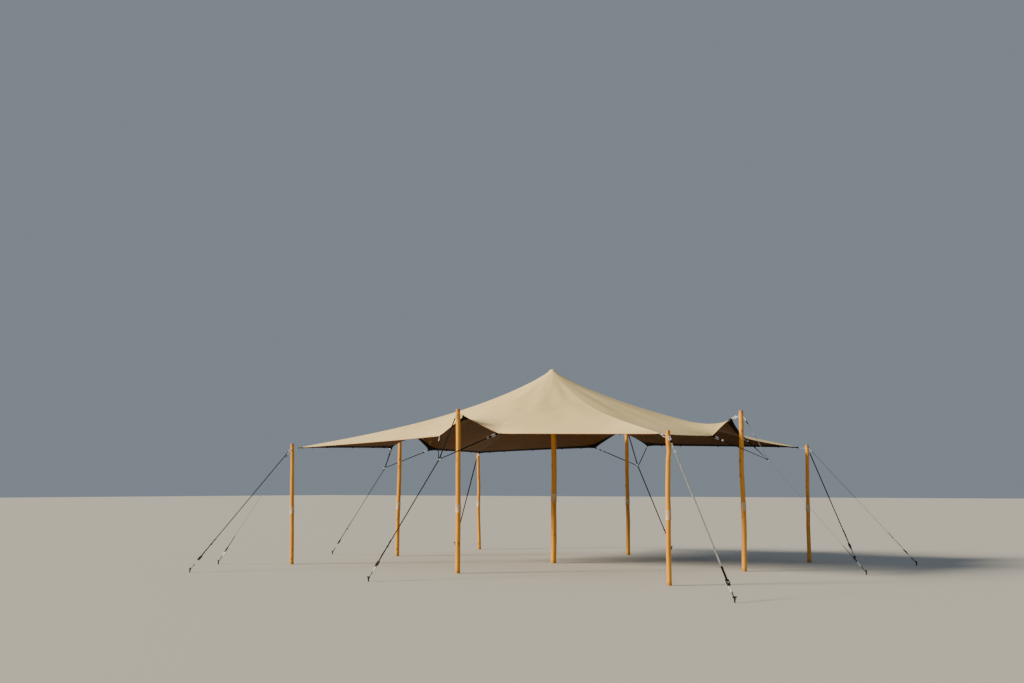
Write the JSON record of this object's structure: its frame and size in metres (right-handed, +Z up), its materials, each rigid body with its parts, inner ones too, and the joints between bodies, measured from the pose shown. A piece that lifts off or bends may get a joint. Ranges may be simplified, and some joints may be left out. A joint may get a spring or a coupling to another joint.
{
  "type": "stretch tent",
  "caption": "Stretch-fabric canopy tent on round wooden poles, pulled taut by strap guys to ground stakes, open on all sides.",
  "frame": {"origin": "foot of the centre pole, on the ground", "axes": "+Z up, +X along the long front and back sides, +Y along the short sides from front to back"},
  "size_m": [12.3911, 11.7849, 4],
  "materials": {
    "canopy_fabric": "matte",
    "pole_wood": "satin",
    "cap_plastic": "matte",
    "sleeve_metal": "satin",
    "webbing": "matte",
    "stake_steel": "matte"
  },
  "bodies": {
    "root": {"canopy": "canopy_fabric", "pole_centre": "pole_wood", "cap_centre": "cap_plastic", "sleeve_centre": "sleeve_metal", "pole_front_left": "pole_wood", "sleeve_front_left": "sleeve_metal", "pole_front_right": "pole_wood", "sleeve_front_right": "sleeve_metal", "pole_back_right": "pole_wood", "sleeve_back_right": "sleeve_metal", "pole_back_left": "pole_wood", "sleeve_back_left": "sleeve_metal", "pole_front": "pole_wood", "sleeve_front": "sleeve_metal", "pole_right": "pole_wood", "sleeve_right": "sleeve_metal", "pole_back": "pole_wood", "sleeve_back": "sleeve_metal", "pole_left": "pole_wood", "sleeve_left": "sleeve_metal", "guy_front_left_1": "webbing", "stake_front_left_1": "stake_steel", "guy_front_left_2": "webbing", "stake_front_left_2": "stake_steel", "guy_front_right": "webbing", "stake_front_right": "stake_steel", "guy_back_right_1": "webbing", "stake_back_right_1": "stake_steel", "guy_back_right_2": "webbing", "stake_back_right_2": "stake_steel", "guy_back_left": "webbing", "stake_back_left": "stake_steel", "guy_front": "webbing", "stake_front": "stake_steel", "guy_right": "webbing", "stake_right": "stake_steel", "guy_back": "webbing", "stake_back": "stake_steel", "guy_left": "webbing", "stake_left": "stake_steel", "bridle_front": "webbing", "bridle_right": "webbing", "bridle_back": "webbing", "bridle_left": "webbing"}
  },
  "joints": []
}
